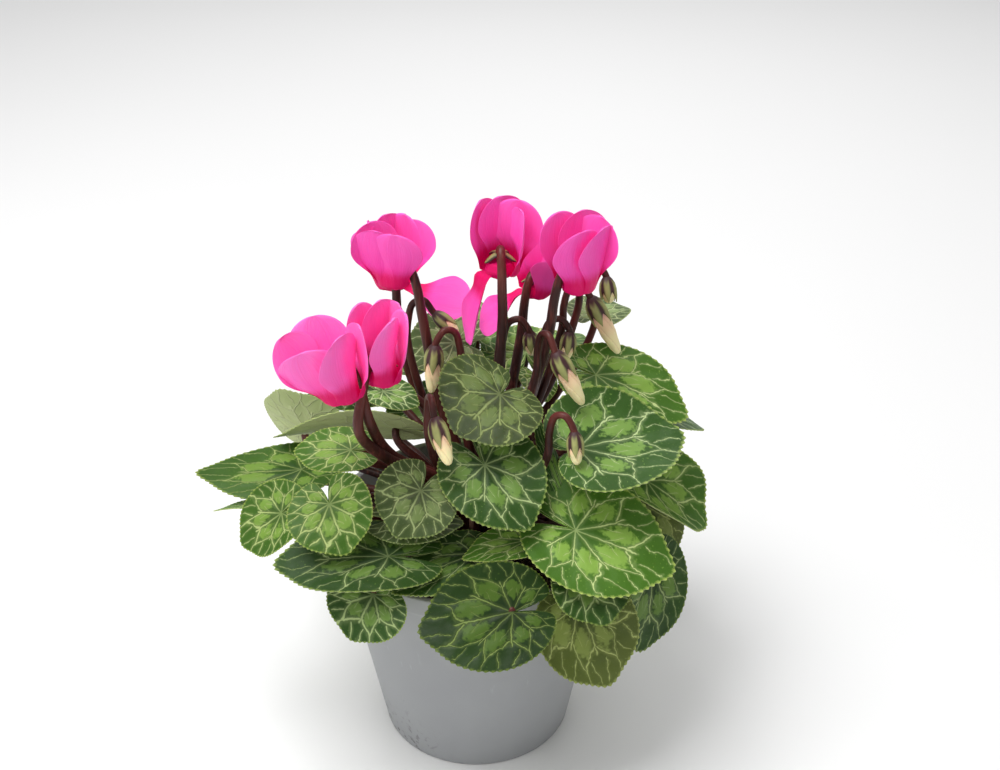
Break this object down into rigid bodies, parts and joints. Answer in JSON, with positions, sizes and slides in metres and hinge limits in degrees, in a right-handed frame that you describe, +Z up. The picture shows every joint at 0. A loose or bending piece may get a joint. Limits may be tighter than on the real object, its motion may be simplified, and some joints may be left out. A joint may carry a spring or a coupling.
{
  "type": "potted cyclamen",
  "caption": "Small pink-flowered cyclamen with silver-netted heart-shaped leaves, growing in a tapered grey plastic pot.",
  "frame": {"origin": "centre of the pot's flat underside", "axes": "+Z up along the pot's axis; the side with the front pair of flowers looks towards -Y"},
  "size_m": [0.1871, 0.1588, 0.2098],
  "materials": {
    "pot": "matte",
    "soil": "matte",
    "stalk": "satin",
    "leaf_deep": "satin",
    "leaf_bright": "satin",
    "leaf_grey": "satin",
    "leaf_olive": "satin",
    "petal": "matte",
    "bud": "matte"
  },
  "bodies": {
    "root": {"pot": "pot", "soil": "soil", "corm_and_stalks": "stalk", "leaf_01": "leaf_deep", "leaf_02": "leaf_bright", "leaf_03": "leaf_deep", "leaf_04": "leaf_bright", "leaf_05": "leaf_bright", "leaf_06": "leaf_olive", "leaf_07": "leaf_deep", "leaf_08": "leaf_olive", "leaf_09": "leaf_deep", "leaf_10": "leaf_deep", "leaf_11": "leaf_bright", "leaf_12": "leaf_deep", "leaf_13": "leaf_deep", "leaf_14": "leaf_deep", "leaf_15": "leaf_bright", "leaf_16": "leaf_bright", "leaf_17": "leaf_grey", "leaf_18": "leaf_grey", "leaf_19": "leaf_bright", "leaf_20": "leaf_grey", "leaf_21": "leaf_bright", "leaf_22": "leaf_bright", "leaf_23": "leaf_bright", "leaf_24": "leaf_grey", "leaf_25": "leaf_grey", "leaf_26": "leaf_deep", "leaf_27": "leaf_grey", "leaf_28": "leaf_bright", "leaf_29": "leaf_deep", "leaf_30": "leaf_deep", "leaf_31": "leaf_deep", "leaf_32": "leaf_bright", "leaf_33": "leaf_deep", "leaf_34": "leaf_bright", "leaf_35": "leaf_deep", "leaf_36": "leaf_deep", "leaf_37": "leaf_olive", "leaf_38": "leaf_deep", "leaf_39": "leaf_bright", "leaf_40": "leaf_deep", "leaf_41": "leaf_grey", "flower_1": "petal", "flower_2": "petal", "flower_3": "petal", "flower_4": "petal", "flower_5": "petal", "flower_6": "petal", "flower_7": "petal", "bud_1": "bud", "bud_2": "bud", "bud_3": "bud", "bud_4": "bud", "bud_5": "bud", "bud_6": "bud", "bud_7": "bud", "bud_8": "bud", "bud_9": "bud"}
  },
  "joints": []
}
